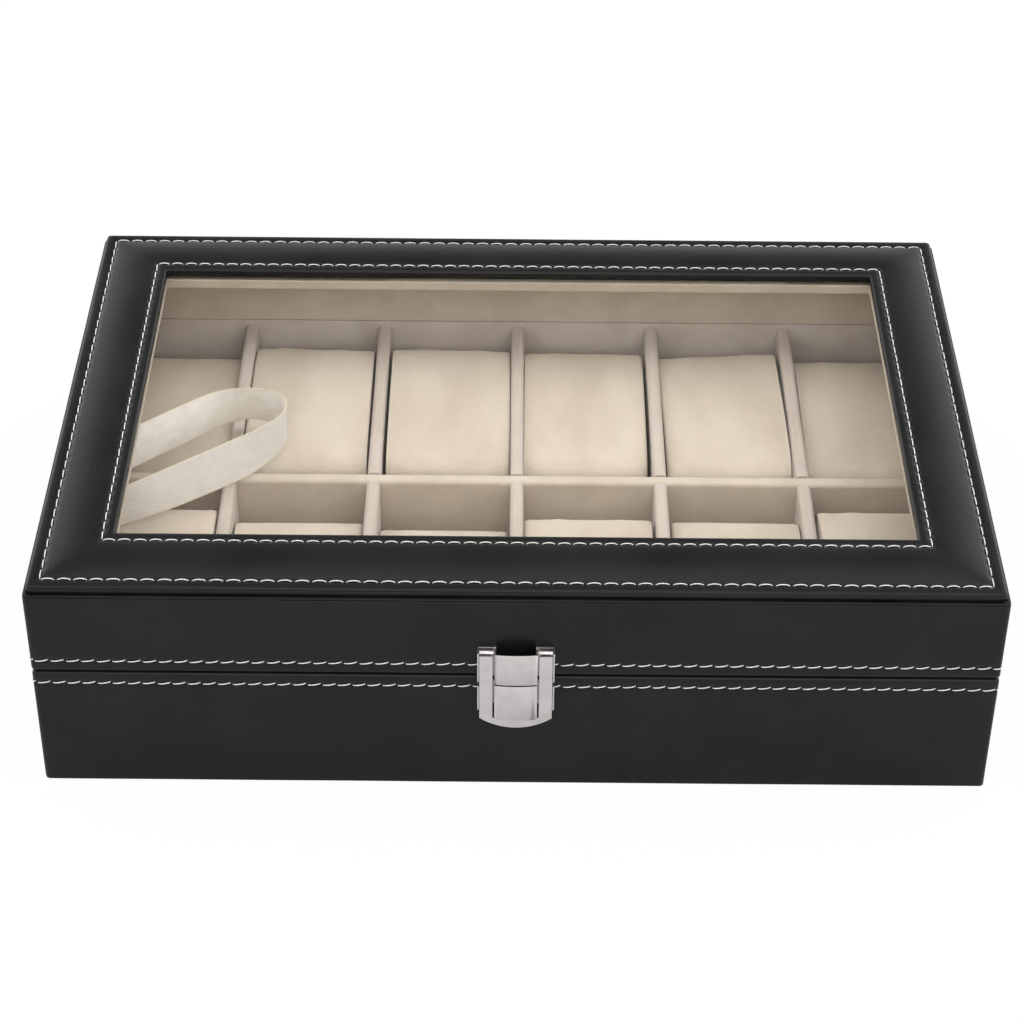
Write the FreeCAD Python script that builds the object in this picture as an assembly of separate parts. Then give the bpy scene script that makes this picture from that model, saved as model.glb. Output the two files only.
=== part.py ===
# Watch box: leather-covered board case with a padded, glazed lid, twelve cushions,
# velvet dividers, a front flap clasp, two rear hinges and a ribbon stay.
# Millimetres. +X right, +Y back, +Z up, origin at the middle of the underside.
import FreeCAD, Part
import math
import os

Vector = FreeCAD.Vector
os.makedirs("parts", exist_ok=True)

# Outside of the box
box_width = 301.2            # over the side walls
box_depth = 204.8            # over the front and back walls
box_height = 80.9            # floor to the middle of the padded border
parting_height = 45.6        # middle of the seam between base and lid
seam_gap = 0.4               # between the two rims when shut
panel_inset = 1.2            # top panel inside the walls
corner_radius = 1.3          # upright corners of the case

# Sheet materials
leather = 0.8
board = 3.8
lining = 1.1                 # velvet on card, base side
floor_lining = 1.2
felt = 0.8
felt_inset = 1.2             # felt edge inside the case edge

# Dividers
columns = 6
divider_thickness = 4.6
divider_drop = 2.0           # divider tops below the seam
divider_set_back = 3.2       # long divider behind the middle of the box
divider_round = 1.6          # rounding of the velvet top edges
divider_clearance = 0.2      # at the linings and in the half laps

# Glazed top
window_border = 25.6         # padded leather round the glass
glass_thickness = 1.5
glass_overlap = 8.0          # glass under the border
glass_clearance = 0.3        # round the glass edge
lining_frame_depth = 3.6     # velvet frame under the glass
top_pad_rise = 3.2           # middle of the border above the glass and the top board
stitch_inset = 3.7           # stitch grooves from both edges of the border
groove_rise = 1.3            # outer groove and the flat edge beside it above the glass
lip_rise = 2.9               # inner groove and the lip beside it above the glass
edge_round = 1.2             # rounding of both edges of the border
panel_seam = 0.2             # between the top cover and the side walls

# Cushions
cushion_end_gap = 3.6        # to the long divider and the wall lining in the back row
cushion_height = 36.3
cushion_side_gap = 0.65      # to the divider on each side
cushion_lift = 0.3           # above the floor lining
cushion_draw = 1.6           # how far the sewn sides draw in
cushion_stations = (-1.0, -0.82, -0.45, 0.0, 0.45, 0.82, 1.0)   # sections across the half width
cushion_foot = 0.8           # flat underside, share of the half length
cushion_brow = 0.84          # where crown and ends meet, share of the half length
cushion_belly = 0.36         # widest level, share of the height
cushion_shoulder = 0.88      # level of the brow, share of the height
cushion_sag = 0.5            # underside lifts this share of the draw at the sides

# Clasp
clasp_half_width = 11.3
clasp_standoff = 4.0         # flap face off the front wall
clasp_rise = 12.4            # knuckle tops above the seam
clasp_drop = 17.5            # bottom of the bow below the seam
clasp_bow = 4.0              # height of the curved bottom edge
clasp_sheet = 0.6
clasp_plate = 0.5
clasp_ear = 0.5              # side walls of the two plates
clasp_ear_gap = 0.15         # between those walls and the flap
clasp_ear_reach = 3.7        # those walls off the front wall
clasp_knuckle_radius = 1.0
clasp_pin_radius = 0.5
clasp_pin_depth = 2.2        # pin behind the flap's face
clasp_rail_rise = 0.3        # rail tops above the pin, with a groove between them and the knuckles
clasp_slit = 0.6
clasp_panel_half = 6.65      # half width of the two centre panels
clasp_bulge = 0.5            # centre panels bow outwards
clasp_flange = 2.1           # folded edges of the rails
clasp_panel_top_drop = 0.2   # centre panel below the knuckle tops
clasp_panel_gap = 0.25       # each side of the seam, between the two centre panels
lid_plate_start = 1.0        # lid plate above the seam
lid_plate_bridge = 3.0       # lid plate below the opening that its centre panel is bent from
base_plate_start = 0.8       # base plate below the seam
base_plate_length = 9.6
catch_half_width = 4.0
catch_drop = 3.6             # catch nose below the seam
catch_height = 4.0
catch_reach = 2.6            # nose out from the base plate
rivet_spread = 8.8
rivet_level = 5.6            # rivets from the plates' seam ends
rivet_head_radius = 1.5
rivet_head = 0.6
rivet_radius = 0.9

# Rear hinges
hinge_inset = 60.0           # hinge middle from the side of the box
hinge_length = 28.0
hinge_leaf = 0.8
leaf_height = 11.0
hinge_knuckles = 5
hinge_knuckle_radius = 1.6
hinge_pin_radius = 0.75
hinge_wall_clearance = 0.3   # knuckles off the back wall
knuckle_gap = 0.15
pin_head_radius = 1.1
pin_head = 0.5
screw_spread = 9.0
screw_level = 6.6            # screws from the hinge axis
screw_head_radius = 1.7
screw_head = 0.6
screw_radius = 0.8
screw_length = 3.4           # below the leaf
running_clearance = 0.05     # pins and fasteners in their holes

# Ribbon stay, on the left wall
ribbon_thickness = 0.5
ribbon_wall_clearance = 0.3
ribbon_rise = 1.4            # lower edge above the seam
ribbon_head_gap = 8.1        # upper edge below the lining frame
ribbon_tab_drop = 3.2        # fixed end below the seam
ribbon_reach = 69.0          # turn of the loop from the left lining
ribbon_loop_back = 17.0      # turn behind the middle of the box
ribbon_base_start = 20.0     # fixed end along the wall, in front of the middle
ribbon_base_leave = 40.0
ribbon_lid_meet = 8.0        # lid end along the wall, in front of the middle
ribbon_lid_end = 18.0
ribbon_near_bend = 10.5      # first bend short of the turn
ribbon_far_bend = 8.5
ribbon_far_bend_back = 31.0
ribbon_inner_bend = 28.0
ribbon_inner_bend_back = 27.0
ribbon_bend_share = 0.45     # of the shorter run, taken up by each bend

# Levels and faces that follow from the sizes above
half_x = box_width / 2
half_y = box_depth / 2
panel_x = half_x - panel_inset
panel_y = half_y - panel_inset
core_x = half_x - leather
core_y = half_y - leather
core_radius = corner_radius - leather
board_x = core_x - board
board_y = core_y - board
clear_x = board_x - lining
clear_y = board_y - lining
base_rim = parting_height - seam_gap / 2
lid_rim = parting_height + seam_gap / 2
bottom_top = felt + board
floor = bottom_top + floor_lining
divider_top = parting_height - divider_drop
column_pitch = (2 * clear_x + divider_thickness) / columns
column_clear = column_pitch - divider_thickness
front_row_y = (divider_set_back - divider_thickness / 2 - clear_y) / 2
back_row_y = (divider_set_back + divider_thickness / 2 + clear_y) / 2
cushion_length = clear_y - divider_set_back - divider_thickness / 2 - 2 * cushion_end_gap
glass_top = box_height - top_pad_rise
glass_bottom = glass_top - glass_thickness
above_border = box_height + top_pad_rise
lining_frame_bottom = glass_bottom - lining_frame_depth
window_x = panel_x - window_border
window_y = panel_y - window_border
glass_x = window_x + glass_overlap
glass_y = window_y + glass_overlap
wall_front = -half_y
wall_back = half_y
hinge_axis_y = wall_back + hinge_wall_clearance + hinge_knuckle_radius
clasp_face = wall_front - clasp_standoff
clasp_pin_y = clasp_face + clasp_pin_depth
clasp_top = parting_height + clasp_rise
clasp_pin_z = clasp_top - clasp_knuckle_radius
panel_web = clasp_panel_half - clasp_plate
rail_inner = clasp_panel_half + clasp_slit
rail_top = clasp_pin_z + clasp_rail_rise
ear_inner = clasp_half_width + clasp_ear_gap
ear_outer = ear_inner + clasp_ear

parts = {}


def block(x0, x1, y0, y1, z0, z1):
    return Part.makeBox(x1 - x0, y1 - y0, z1 - z0, Vector(x0, y0, z0))


def rod_x(radius, x0, x1, y, z):
    return Part.makeCylinder(radius, x1 - x0, Vector(x0, y, z), Vector(1, 0, 0))


def rod_y(radius, y0, y1, x, z):
    return Part.makeCylinder(radius, y1 - y0, Vector(x, y0, z), Vector(0, 1, 0))


def closed_face(edges):
    return Part.Face(Part.Wire(edges))


def line(start, end):
    return Part.LineSegment(start, end).toShape()


def arc(start, middle, end):
    return Part.Arc(start, middle, end).toShape()


def rounded_slab(reach_x, reach_y, radius, z0, z1):
    slant = radius * (1 - math.sqrt(0.5))
    edges = []
    for sign_x, sign_y in ((1, -1), (1, 1), (-1, 1), (-1, -1)):
        along_y = Vector(sign_x * reach_x, sign_y * (reach_y - radius), z0)
        along_x = Vector(sign_x * (reach_x - radius), sign_y * reach_y, z0)
        middle = Vector(sign_x * (reach_x - slant), sign_y * (reach_y - slant), z0)
        first, last = (along_x, along_y) if sign_x * sign_y < 0 else (along_y, along_x)
        if edges:
            edges.append(line(edges[-1].Vertexes[-1].Point, first))
        edges.append(arc(first, middle, last))
    edges.append(line(edges[-1].Vertexes[-1].Point, edges[0].Vertexes[0].Point))
    return closed_face(edges).extrude(Vector(0, 0, z1 - z0))


def frame_ring(outer_x, outer_y, inner_x, inner_y, z0, z1):
    outer = block(-outer_x, outer_x, -outer_y, outer_y, z0, z1)
    return outer.cut(block(-inner_x, inner_x, -inner_y, inner_y, z0, z1))


def wall_set(prefix, suffix, outside, inner_x, inner_y, z0, z1):
    # Front and back run the full width; left and right fit between them.
    bounds = outside.BoundBox
    far_x = bounds.XMax
    far_y = bounds.YMax
    walls = {
        "front": block(-far_x, far_x, -far_y, -inner_y, z0, z1),
        "back": block(-far_x, far_x, inner_y, far_y, z0, z1),
        "left": block(-far_x, -inner_x, -inner_y, inner_y, z0, z1),
        "right": block(inner_x, far_x, -inner_y, inner_y, z0, z1),
    }
    for side, wall in walls.items():
        parts[f"{prefix}_{side}_{suffix}"] = wall.common(outside)


# Base: bottom and side boards, leather round them, velvet inside, felt below
def base_case():
    parts["base_underside_felt"] = rounded_slab(
        half_x - felt_inset, half_y - felt_inset, corner_radius, 0, felt)
    parts["base_bottom_board"] = rounded_slab(core_x, core_y, core_radius, felt, bottom_top)
    board_core = rounded_slab(core_x, core_y, core_radius, bottom_top, base_rim - leather)
    wall_set("base", "board", board_core, board_x, board_y, bottom_top, base_rim - leather)
    outside = rounded_slab(half_x, half_y, corner_radius, felt, base_rim)
    inside = rounded_slab(core_x, core_y, core_radius, felt, base_rim - leather)
    mouth = block(-board_x, board_x, -board_y, board_y, felt, base_rim)
    parts["base_leather_wrap"] = outside.cut(inside).cut(mouth)
    lining_core = block(-board_x, board_x, -board_y, board_y, bottom_top, base_rim)
    wall_set("base", "lining", lining_core, clear_x, clear_y, bottom_top, base_rim)
    parts["base_floor_lining"] = block(-clear_x, clear_x, -clear_y, clear_y, bottom_top, floor)


# Dividers: flat velvet boards with rounded tops, half lapped into each other
def divider_plate(reach, top):
    # Built along X about the origin.
    side = divider_thickness / 2
    slant = divider_round * (1 - math.sqrt(0.5))
    x = -reach
    corners = [Vector(x, -side, floor), Vector(x, side, floor)]
    shoulders = [Vector(x, side, top - divider_round), Vector(x, side - divider_round, top),
                 Vector(x, divider_round - side, top), Vector(x, -side, top - divider_round)]
    edges = [
        line(corners[0], corners[1]),
        line(corners[1], shoulders[0]),
        arc(shoulders[0], Vector(x, side - slant, top - slant), shoulders[1]),
        line(shoulders[1], shoulders[2]),
        arc(shoulders[2], Vector(x, slant - side, top - slant), shoulders[3]),
        line(shoulders[3], corners[0]),
    ]
    return closed_face(edges).extrude(Vector(2 * reach, 0, 0))


def dividers():
    lap_level = (floor + divider_top) / 2
    slot = divider_thickness / 2 + divider_clearance / 2
    long_divider = divider_plate(clear_x - divider_clearance, divider_top)
    long_divider.translate(Vector(0, divider_set_back, 0))
    lap_front = divider_set_back - slot
    lap_back = divider_set_back + slot
    cross_plate = divider_plate(clear_y - divider_clearance, divider_top)
    cross_plate.rotate(Vector(0, 0, 0), Vector(0, 0, 1), 90)
    cross_plate = cross_plate.cut(
        block(-slot, slot, lap_front, lap_back, lap_level, divider_top))
    for number in range(1, columns):
        x = (number - columns / 2) * column_pitch
        long_divider = long_divider.cut(
            block(x - slot, x + slot, lap_front, lap_back, floor, lap_level + divider_clearance))
        cross = cross_plate.copy()
        cross.translate(Vector(x, 0, 0))
        parts[f"cross_divider_{number}"] = cross
    parts["long_divider"] = long_divider


# Cushions: crowned bolsters whose sewn sides draw in
def cushion_section(x, drawn):
    reach = cushion_length / 2 - drawn
    bottom = floor + cushion_lift + cushion_sag * drawn
    top = floor + cushion_lift + cushion_height - drawn
    shoulder = bottom + cushion_shoulder * (top - bottom)
    belly = bottom + cushion_belly * (top - bottom)
    foot = cushion_foot * reach
    brow = cushion_brow * reach
    edges = [
        line(Vector(x, -foot, bottom), Vector(x, foot, bottom)),
        arc(Vector(x, foot, bottom), Vector(x, reach, belly), Vector(x, brow, shoulder)),
        arc(Vector(x, brow, shoulder), Vector(x, 0, top), Vector(x, -brow, shoulder)),
        arc(Vector(x, -brow, shoulder), Vector(x, -reach, belly), Vector(x, -foot, bottom)),
    ]
    return Part.Wire(edges)


def cushions():
    half_width = column_clear / 2 - cushion_side_gap
    sections = [cushion_section(share * half_width, cushion_draw * share ** 4)
                for share in cushion_stations]
    bolster = Part.makeLoft(sections, True)
    for row, y in (("front", front_row_y), ("back", back_row_y)):
        for number in range(1, columns + 1):
            cushion = bolster.copy()
            x = (number - (columns + 1) / 2) * column_pitch
            cushion.translate(Vector(x, y, 0))
            parts[f"cushion_{row}_{number}"] = cushion


# Lid: side boards in leather, velvet inside, and a glazed top panel with a padded border
def lid_case():
    board_core = rounded_slab(core_x, core_y, core_radius, lid_rim + leather, glass_bottom)
    wall_set("lid", "board", board_core, board_x, board_y, lid_rim + leather, glass_bottom)
    outside = rounded_slab(half_x, half_y, corner_radius, lid_rim, glass_bottom)
    inside = rounded_slab(core_x, core_y, core_radius, lid_rim + leather, glass_bottom)
    mouth = block(-board_x, board_x, -board_y, board_y, lid_rim, glass_bottom)
    parts["lid_leather_wrap"] = outside.cut(inside).cut(mouth)
    lining_core = block(-board_x, board_x, -board_y, board_y, lid_rim, lining_frame_bottom)
    wall_set("lid", "lining", lining_core, clear_x, clear_y, lid_rim, lining_frame_bottom)
    parts["lid_lining_frame"] = frame_ring(
        board_x, board_y, window_x, window_y, lining_frame_bottom, glass_bottom)


def border_point(inset, level):
    # A point of the front side's section, counted inwards from the panel's outer edge.
    return Vector(0, inset - panel_y, level)


def border_section(skin):
    # The border's outline, with skin taken off its top and both edges.
    foot = glass_top
    edge = glass_top + groove_rise - skin
    lip = glass_top + lip_rise - skin
    far = window_border - skin
    rounding = edge_round - skin
    slant = rounding * (1 - math.sqrt(0.5))
    outer_groove = border_point(stitch_inset, edge)
    inner_groove = border_point(window_border - stitch_inset, lip)
    outer_side = border_point(skin, edge - rounding)
    outer_top = border_point(skin + rounding, edge)
    inner_top = border_point(far - rounding, lip)
    inner_side = border_point(far, lip - rounding)
    return closed_face([
        line(border_point(skin, foot), outer_side),
        arc(outer_side, border_point(skin + slant, edge - slant), outer_top),
        line(outer_top, outer_groove),
        arc(outer_groove, border_point(window_border / 2, box_height - skin), inner_groove),
        line(inner_groove, inner_top),
        arc(inner_top, border_point(far - slant, lip - slant), inner_side),
        line(inner_side, border_point(far, foot)),
        line(border_point(far, foot), border_point(skin, foot)),
    ])


def mitred_border(profile):
    # Turns a profile on the front side, drawn across X = 0, into a ring with mitred corners.
    sides = []
    for reach, other, turns in ((panel_x, panel_y, (0, 180)), (panel_y, panel_x, (90, 270))):
        strip = profile.copy()
        strip.translate(Vector(-reach, panel_y - other, 0))
        strip = strip.extrude(Vector(2 * reach, 0, 0))
        corners = [Vector(-reach, -other, 0), Vector(reach, -other, 0),
                   Vector(reach - window_border, window_border - other, 0),
                   Vector(window_border - reach, window_border - other, 0)]
        plan = Part.Face(Part.makePolygon(corners + corners[:1]))
        side = strip.common(plan.extrude(Vector(0, 0, above_border)))
        for turn in turns:
            turned = side.copy()
            turned.rotate(Vector(0, 0, 0), Vector(0, 0, 1), turn)
            sides.append(turned)
    return sides[0].fuse(sides[1:]).removeSplitter()


def lid_top():
    parts["glass_pane"] = block(-glass_x, glass_x, -glass_y, glass_y, glass_bottom, glass_top)
    panel_core = rounded_slab(panel_x - leather, panel_y - leather, core_radius, glass_bottom, glass_top)
    parts["lid_top_board"] = panel_core.cut(
        block(-glass_x - glass_clearance, glass_x + glass_clearance,
              -glass_y - glass_clearance, glass_y + glass_clearance, glass_bottom, glass_top))
    parts["lid_top_pad"] = mitred_border(border_section(leather))
    outside = rounded_slab(panel_x, panel_y, corner_radius, glass_bottom + panel_seam, above_border)
    skirt = rounded_slab(panel_x, panel_y, corner_radius, glass_bottom + panel_seam, glass_top)
    skirt = skirt.cut(panel_core)
    cover = mitred_border(border_section(0)).common(outside).cut(parts["lid_top_pad"])
    parts["lid_top_leather"] = cover.fuse(skirt).removeSplitter()


# Clasp: two plates on the front wall, two pins, and a flap with a spring tongue
def rivet_pair(level):
    head_end = wall_front - clasp_plate
    pair = []
    for side in (-1, 1):
        head = rod_y(rivet_head_radius, head_end - rivet_head, head_end, side * rivet_spread, level)
        shank = rod_y(rivet_radius, head_end, -board_y, side * rivet_spread, level)
        pair.append(head.fuse(shank))
    return pair


def drill(names, radius, y0, y1, places):
    for name in names:
        for x, z in places:
            parts[name] = parts[name].cut(rod_y(radius, y0, y1, x, z))


def bulged_panel(half_width, face, sheet, z0, z1):
    outer = [Vector(-half_width, face, z0), Vector(0, face - clasp_bulge, z0), Vector(half_width, face, z0)]
    inner = [point + Vector(0, sheet, 0) for point in outer]
    edges = [arc(*outer), line(outer[2], inner[2]), arc(*reversed(inner)), line(inner[0], outer[0])]
    return closed_face(edges).extrude(Vector(0, 0, z1 - z0))


def eared_plate(z0, z1):
    # A plate on the front wall with a side wall along each upright edge.
    plate = block(-ear_outer, ear_outer, wall_front - clasp_plate, wall_front, z0, z1)
    ears = [block(x, x + clasp_ear, wall_front - clasp_ear_reach, wall_front, z0, z1)
            for x in (-ear_outer, ear_inner)]
    return plate.fuse(ears)


def clasp_plates():
    plate_face = wall_front - clasp_plate
    panel_bottom = parting_height + clasp_panel_gap
    panel_top = clasp_top - clasp_panel_top_drop
    lid_start = parting_height + lid_plate_start
    lid_plate = eared_plate(lid_start, clasp_top)
    lid_plate = lid_plate.cut(
        block(-panel_web, panel_web, plate_face, wall_front, lid_start + lid_plate_bridge, clasp_top))
    panel = bulged_panel(clasp_panel_half, clasp_face, clasp_plate, panel_bottom, panel_top)
    lid_plate = lid_plate.fuse(panel)
    for side in (-1, 1):
        web_x = sorted((side * clasp_panel_half, side * panel_web))
        web = block(web_x[0], web_x[1], clasp_face + clasp_plate / 2, wall_front, lid_start, panel_top)
        lid_plate = lid_plate.fuse(web)
    lid_plate = lid_plate.cut(rod_x(clasp_pin_radius + running_clearance, -ear_outer, ear_outer,
                                    clasp_pin_y, clasp_pin_z))
    parts["clasp_lid_plate"] = lid_plate.removeSplitter()
    base_top = parting_height - base_plate_start
    base_plate = eared_plate(base_top - base_plate_length, base_top)
    nose_top = parting_height - catch_drop
    nose = [Vector(-catch_half_width, wall_front, nose_top),
            Vector(-catch_half_width, plate_face, nose_top),
            Vector(-catch_half_width, plate_face - catch_reach, nose_top - catch_height),
            Vector(-catch_half_width, wall_front, nose_top - catch_height)]
    nose_face = Part.Face(Part.makePolygon(nose + nose[:1]))
    nose_solid = nose_face.extrude(Vector(2 * catch_half_width, 0, 0))
    parts["clasp_base_plate"] = base_plate.fuse(nose_solid).removeSplitter()

    lid_level = lid_start + rivet_level
    base_level = base_top - rivet_level
    for level, half in ((lid_level, "lid"), (base_level, "base")):
        places = [(-rivet_spread, level), (rivet_spread, level)]
        drill((f"clasp_{half}_plate", f"{half}_leather_wrap", f"{half}_front_board"),
              rivet_radius + running_clearance, plate_face, -board_y, places)
        parts[f"clasp_{half}_rivets"] = Part.makeCompound(rivet_pair(level))


def clasp_flap():
    bow_bottom = parting_height - clasp_drop
    bow_level = bow_bottom + clasp_bow
    back = clasp_face + clasp_sheet
    left = Vector(-clasp_half_width, clasp_face, bow_level)
    right = Vector(clasp_half_width, clasp_face, bow_level)
    top_left = Vector(-clasp_half_width, clasp_face, rail_top)
    top_right = Vector(clasp_half_width, clasp_face, rail_top)
    edges = [line(top_left, left), arc(left, Vector(0, clasp_face, bow_bottom), right),
             line(right, top_right), line(top_right, top_left)]
    flap = closed_face(edges).extrude(Vector(0, clasp_sheet, 0))
    flap = flap.cut(block(-rail_inner, rail_inner, clasp_face, back, bow_level, rail_top))
    tongue = bulged_panel(clasp_panel_half, clasp_face, clasp_sheet,
                          bow_level - clasp_slit, parting_height - clasp_panel_gap)
    flap = flap.fuse(tongue)
    bore = clasp_pin_radius + running_clearance
    for side in (-1, 1):
        rail = sorted((side * rail_inner, side * clasp_half_width))
        edge = sorted((side * (clasp_half_width - clasp_sheet), side * clasp_half_width))
        flap = flap.fuse(rod_x(clasp_knuckle_radius, rail[0], rail[1], clasp_pin_y, clasp_pin_z))
        flap = flap.fuse(block(edge[0], edge[1], clasp_face, back + clasp_flange, bow_level, rail_top))
    flap = flap.cut(rod_x(bore, -clasp_half_width, clasp_half_width, clasp_pin_y, clasp_pin_z))
    parts["clasp_flap"] = flap.removeSplitter()
    parts["clasp_pins"] = Part.makeCompound([
        rod_x(clasp_pin_radius, start, end, clasp_pin_y, clasp_pin_z)
        for start, end in ((-ear_outer, -panel_web), (panel_web, ear_outer))])


# Rear hinges: surface leaves with alternating knuckles on one pin each
def hinge_half(x_middle, upward):
    # upward is 1 for the lid leaf and -1 for the base leaf
    knuckle = hinge_length / hinge_knuckles
    start = x_middle - hinge_length / 2
    inner = parting_height + upward * hinge_knuckle_radius
    outer = inner + upward * leaf_height
    leaf_back = wall_back + hinge_leaf
    levels = sorted((inner, outer))
    leaf = block(start, start + hinge_length, wall_back, leaf_back, levels[0], levels[1])
    first = 0 if upward < 0 else 1
    for number in range(first, hinge_knuckles, 2):
        x0 = start + number * knuckle + knuckle_gap / 2
        x1 = start + (number + 1) * knuckle - knuckle_gap / 2
        curl = rod_x(hinge_knuckle_radius, x0, x1, hinge_axis_y, parting_height)
        near = sorted((inner, inner - upward * hinge_leaf))
        web = block(x0, x1, wall_back, hinge_axis_y, near[0], near[1])
        leaf = leaf.fuse([curl, web])
    bore = rod_x(hinge_pin_radius + running_clearance, start, start + hinge_length,
                 hinge_axis_y, parting_height)
    return leaf.cut(bore).removeSplitter()


def hinges():
    hinge_x = half_x - hinge_inset
    leaf_back = wall_back + hinge_leaf
    pins = []
    for side, sign in (("left", -1), ("right", 1)):
        parts[f"hinge_{side}_base_leaf"] = hinge_half(sign * hinge_x, -1)
        parts[f"hinge_{side}_lid_leaf"] = hinge_half(sign * hinge_x, 1)
        start = sign * hinge_x - hinge_length / 2
        end = start + hinge_length
        shaft = rod_x(hinge_pin_radius, start, end, hinge_axis_y, parting_height)
        heads = [rod_x(pin_head_radius, x, x + pin_head, hinge_axis_y, parting_height)
                 for x in (start - pin_head, end)]
        pins.append(shaft.fuse(heads))
    parts["hinge_pins"] = Part.makeCompound(pins)
    for half, upward in (("base", -1), ("lid", 1)):
        level = parting_height + upward * screw_level
        places = [(sign * hinge_x + offset * screw_spread, level)
                  for sign in (-1, 1) for offset in (-1, 1)]
        tip = leaf_back - hinge_leaf - screw_length
        drill((f"{half}_leather_wrap", f"{half}_back_board"), screw_radius + running_clearance,
              tip, leaf_back, places)
        drill((f"hinge_left_{half}_leaf", f"hinge_right_{half}_leaf"), screw_radius + running_clearance,
              tip, leaf_back, places)
        screws = []
        for x, z in places:
            head = rod_y(screw_head_radius, leaf_back, leaf_back + screw_head, x, z)
            screws.append(head.fuse(rod_y(screw_radius, tip, leaf_back, x, z)))
        parts[f"hinge_{half}_screws"] = Part.makeCompound(screws)


# Ribbon stay: a band on edge, folded into one loop beside the left wall
def rounded_route(points, bend_share):
    # Straight runs joined by tangent arcs, each as large as its shorter run allows.
    pieces = []
    last = points[0]
    for before, corner, after in zip(points, points[1:], points[2:]):
        arriving = (corner - before).normalize()
        leaving = (after - corner).normalize()
        half_turn = arriving.getAngle(leaving) / 2
        trim = bend_share * min((corner - before).Length, (after - corner).Length)
        inward = (leaving - arriving).normalize()
        radius = trim / math.tan(half_turn)
        centre = corner + inward * (radius / math.cos(half_turn))
        start = corner - arriving * trim
        end = corner + leaving * trim
        pieces.append((last, start, None, None))
        pieces.append((start, end, centre, centre - inward * radius))
        last = end
    pieces.append((last, points[-1], None, None))
    return pieces


def side_line(pieces, offset):
    # The route moved sideways by offset, as edges in order.
    edges = []
    for start, end, centre, middle in pieces:
        if centre is None:
            heading = (end - start).normalize()
            sideways = Vector(-heading.y, heading.x, 0) * offset
            edges.append(line(start + sideways, end + sideways))
        else:
            turning = (start - centre).cross(end - centre).z
            shift = -offset if turning > 0 else offset
            moved = [point + (point - centre).normalize() * shift for point in (start, middle, end)]
            edges.append(arc(*moved))
    return edges


def ribbon():
    wall = ribbon_wall_clearance + ribbon_thickness / 2 - clear_x
    turn = ribbon_reach - clear_x
    low = parting_height + ribbon_rise
    high = lining_frame_bottom - ribbon_head_gap
    plan = [
        (wall, -ribbon_base_start),
        (wall, -ribbon_base_leave),
        (turn - ribbon_near_bend, 0),
        (turn, ribbon_loop_back),
        (turn - ribbon_far_bend, ribbon_far_bend_back),
        (turn - ribbon_inner_bend, ribbon_inner_bend_back),
        (wall, -ribbon_lid_meet),
        (wall, -ribbon_lid_end),
    ]
    points = [Vector(x, y, low) for x, y in plan]
    pieces = rounded_route(points, ribbon_bend_share)
    near_side = side_line(pieces, ribbon_thickness / 2)
    far_side = side_line(pieces, -ribbon_thickness / 2)
    ends = [line(near_side[index].Vertexes[index].Point, far_side[index].Vertexes[index].Point)
            for index in (0, -1)]
    outline = Part.__sortEdges__(near_side + far_side + ends)
    band = closed_face(outline).extrude(Vector(0, 0, high - low))
    tab_end = pieces[0][1].y
    tab = block(wall - ribbon_thickness / 2, wall + ribbon_thickness / 2, tab_end, -ribbon_base_start,
                parting_height - ribbon_tab_drop, high)
    parts["ribbon_stay"] = band.fuse(tab).removeSplitter()
    length = sum(edge.Length for edge in side_line(pieces, 0))
    print(f"ribbon along its middle {length:.1f} mm")


base_case()
dividers()
cushions()
lid_case()
lid_top()
clasp_plates()
clasp_flap()
hinges()
ribbon()

for name, shape in parts.items():
    shape.exportStep(f"parts/{name}.step")
    if not shape.isValid():
        print(f"{name} is not valid")
print(f"{len(parts)} pieces, divider pitch {column_pitch:.2f} mm, column {column_clear:.2f} mm")
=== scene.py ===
import bpy
import math
import random
from mathutils import Matrix, Vector, noise
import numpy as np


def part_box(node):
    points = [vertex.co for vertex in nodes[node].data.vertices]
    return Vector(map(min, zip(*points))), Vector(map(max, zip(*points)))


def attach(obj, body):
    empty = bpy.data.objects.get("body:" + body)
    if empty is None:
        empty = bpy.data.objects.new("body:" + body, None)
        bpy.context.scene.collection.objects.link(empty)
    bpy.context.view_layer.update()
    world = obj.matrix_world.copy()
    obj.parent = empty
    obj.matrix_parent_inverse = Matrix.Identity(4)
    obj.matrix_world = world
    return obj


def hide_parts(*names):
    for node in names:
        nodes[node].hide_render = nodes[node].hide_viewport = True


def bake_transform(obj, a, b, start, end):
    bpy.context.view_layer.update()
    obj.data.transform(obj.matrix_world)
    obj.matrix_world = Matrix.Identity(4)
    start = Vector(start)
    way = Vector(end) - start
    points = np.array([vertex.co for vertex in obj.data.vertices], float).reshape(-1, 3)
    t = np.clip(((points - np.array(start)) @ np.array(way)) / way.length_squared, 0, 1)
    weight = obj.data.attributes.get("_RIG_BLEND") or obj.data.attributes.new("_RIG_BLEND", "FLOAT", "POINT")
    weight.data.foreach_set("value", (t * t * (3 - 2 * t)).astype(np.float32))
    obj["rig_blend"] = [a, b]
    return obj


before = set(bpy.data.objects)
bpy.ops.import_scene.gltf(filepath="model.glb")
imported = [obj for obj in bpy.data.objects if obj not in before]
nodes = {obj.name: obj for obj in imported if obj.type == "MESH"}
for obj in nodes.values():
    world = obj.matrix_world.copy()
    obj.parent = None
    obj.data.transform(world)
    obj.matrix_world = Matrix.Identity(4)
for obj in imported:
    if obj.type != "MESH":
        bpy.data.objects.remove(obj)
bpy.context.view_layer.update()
scene = bpy.context.scene
mm = 0.001


# Shader wiring

def plug(tree, value, socket):
    if isinstance(value, Wire):
        tree.links.new(value.socket, socket)
    else:
        socket.default_value = value


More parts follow.
